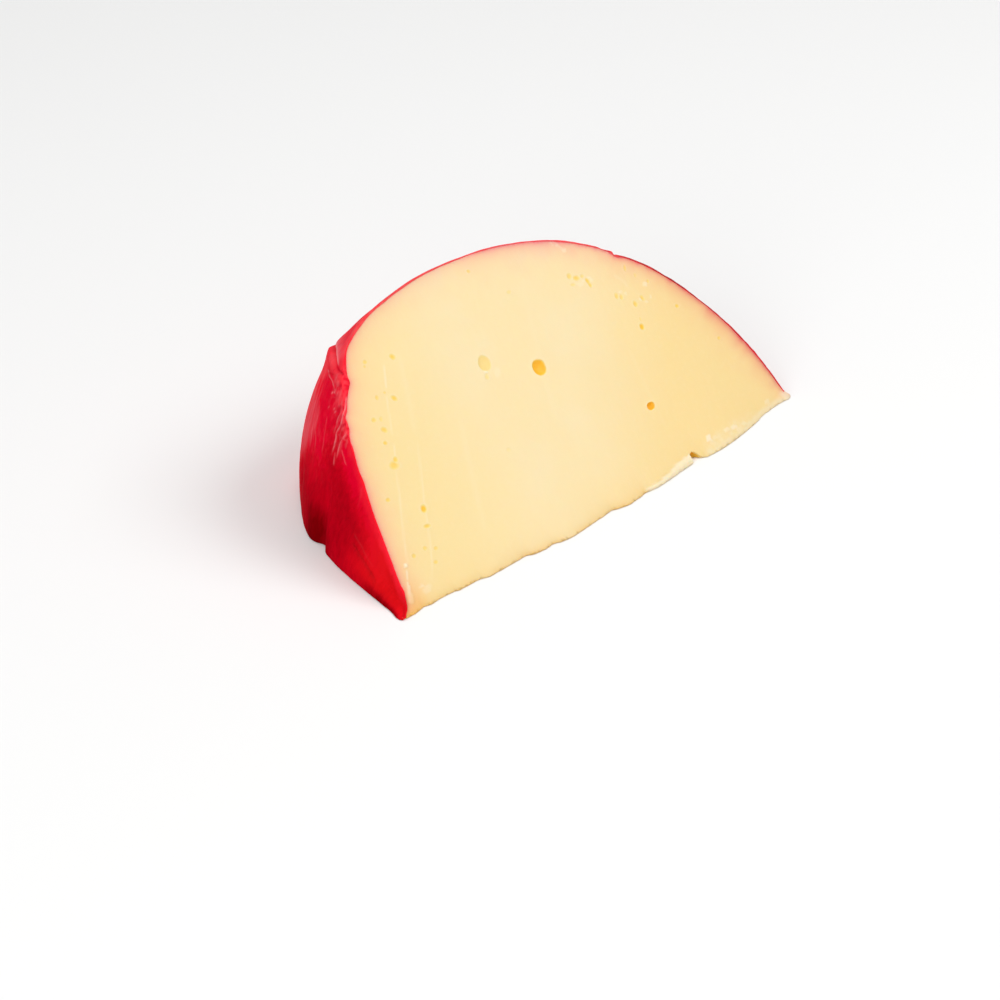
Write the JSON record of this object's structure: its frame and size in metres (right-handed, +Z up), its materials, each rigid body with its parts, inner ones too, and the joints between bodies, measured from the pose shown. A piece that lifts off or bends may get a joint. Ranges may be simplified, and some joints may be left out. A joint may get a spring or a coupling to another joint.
{
  "type": "prato cheese wedge",
  "caption": "Wedge of semi-hard yellow prato cheese cut from a wax-coated ball: smooth pale paste with scattered eyes and a thin red wax rind, resting on one cut face.",
  "frame": {"origin": "middle of the bounding box's underside, on the flat cut face that the wedge rests on", "axes": "+X along the straight front bottom edge where the two cut faces meet, from the flattened end to the round end; +Y to the back, under the waxed dome; +Z up"},
  "size_m": [0.1496, 0.081, 0.0557],
  "materials": {
    "paste": "smooth, slightly moist cut paste, satin",
    "wax": "thin red wax skin, semi-gloss with fine creases"
  },
  "bodies": {
    "root": {"cheese": "paste"}
  },
  "joints": []
}
